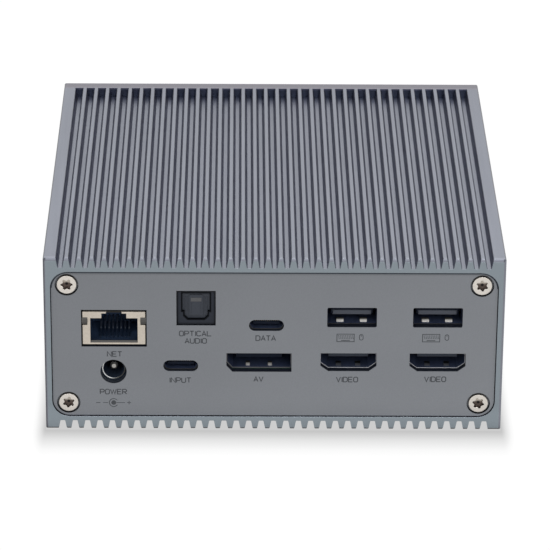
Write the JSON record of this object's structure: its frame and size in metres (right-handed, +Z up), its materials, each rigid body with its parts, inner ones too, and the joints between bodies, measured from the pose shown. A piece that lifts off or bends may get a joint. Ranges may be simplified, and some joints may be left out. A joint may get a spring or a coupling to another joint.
{
  "type": "docking station",
  "caption": "Desktop docking station in a finned aluminium extrusion, with a recessed panel of network, optical, power, data and video ports.",
  "frame": {"origin": "middle of the footprint, on the surface it stands on", "axes": "+Z up, +Y from the port panel to the front panel, +X to the right when facing the port panel"},
  "size_m": [0.116, 0.1208, 0.0476],
  "materials": {
    "housing_finish": "bead-blasted and anodised, blue-grey",
    "panel_finish": "matt anodised, darker grey",
    "screw_steel": "nickel plated",
    "board_laminate": "green solder mask",
    "black_moulding": "moulded, black",
    "chip_moulding": "moulded, dark grey",
    "thermal_pad": "soft silicone",
    "block_aluminium": "milled",
    "ferrite": "pressed powder",
    "capacitor_can": "drawn can",
    "jack_shield": "tin plated",
    "contact_plating": "gold flash",
    "shutter_moulding": "moulded, charcoal",
    "emitter_moulding": "clear red moulding",
    "port_shell": "nickel plated",
    "port_insert": "moulded, black"
  },
  "bodies": {
    "dock": {"finned_housing": "housing_finish", "front_panel": "housing_finish", "rear_panel": "panel_finish", "rear_panel_screws": "screw_steel", "lower_board": "board_laminate", "upper_board": "board_laminate", "stacking_header": "black_moulding", "stacking_socket": "black_moulding", "network_jack_insert": "black_moulding", "optical_jack_body": "black_moulding", "power_jack_body": "black_moulding", "audio_jack_body": "black_moulding", "hub_chip": "chip_moulding", "network_transformer": "chip_moulding", "chip_thermal_pad": "thermal_pad", "heat_block": "block_aluminium", "power_inductors": "ferrite", "bulk_capacitors": "capacitor_can", "network_jack_shield": "jack_shield", "network_jack_contacts": "contact_plating", "power_jack_pin": "contact_plating", "optical_emitter": "emitter_moulding", "data_port_shell": "port_shell", "host_port_shell": "port_shell", "monitor_port_shell": "port_shell", "left_video_port_shell": "port_shell", "left_flat_port_shell": "port_shell", "right_video_port_shell": "port_shell", "right_flat_port_shell": "port_shell", "front_slim_port_shell": "port_shell", "front_flat_port_shell": "port_shell", "data_port_insert": "port_insert", "host_port_insert": "port_insert", "monitor_port_insert": "port_insert", "left_video_port_insert": "port_insert", "left_flat_port_insert": "port_insert", "right_video_port_insert": "port_insert", "right_flat_port_insert": "port_insert", "front_slim_port_insert": "port_insert", "front_flat_port_insert": "port_insert"},
    "shutter": {"optical_shutter": "shutter_moulding"}
  },
  "joints": [
    {"name": "shutter_hinge", "type": "hinge", "parent": "dock", "child": "shutter", "pos_m": [-0.0197, -0.0583, 0.03718], "axis": [1, 0, 0], "range_deg": [0, 85], "stiffness_Nm_per_rad": 0.0001, "springref_deg": -28.65}
  ]
}
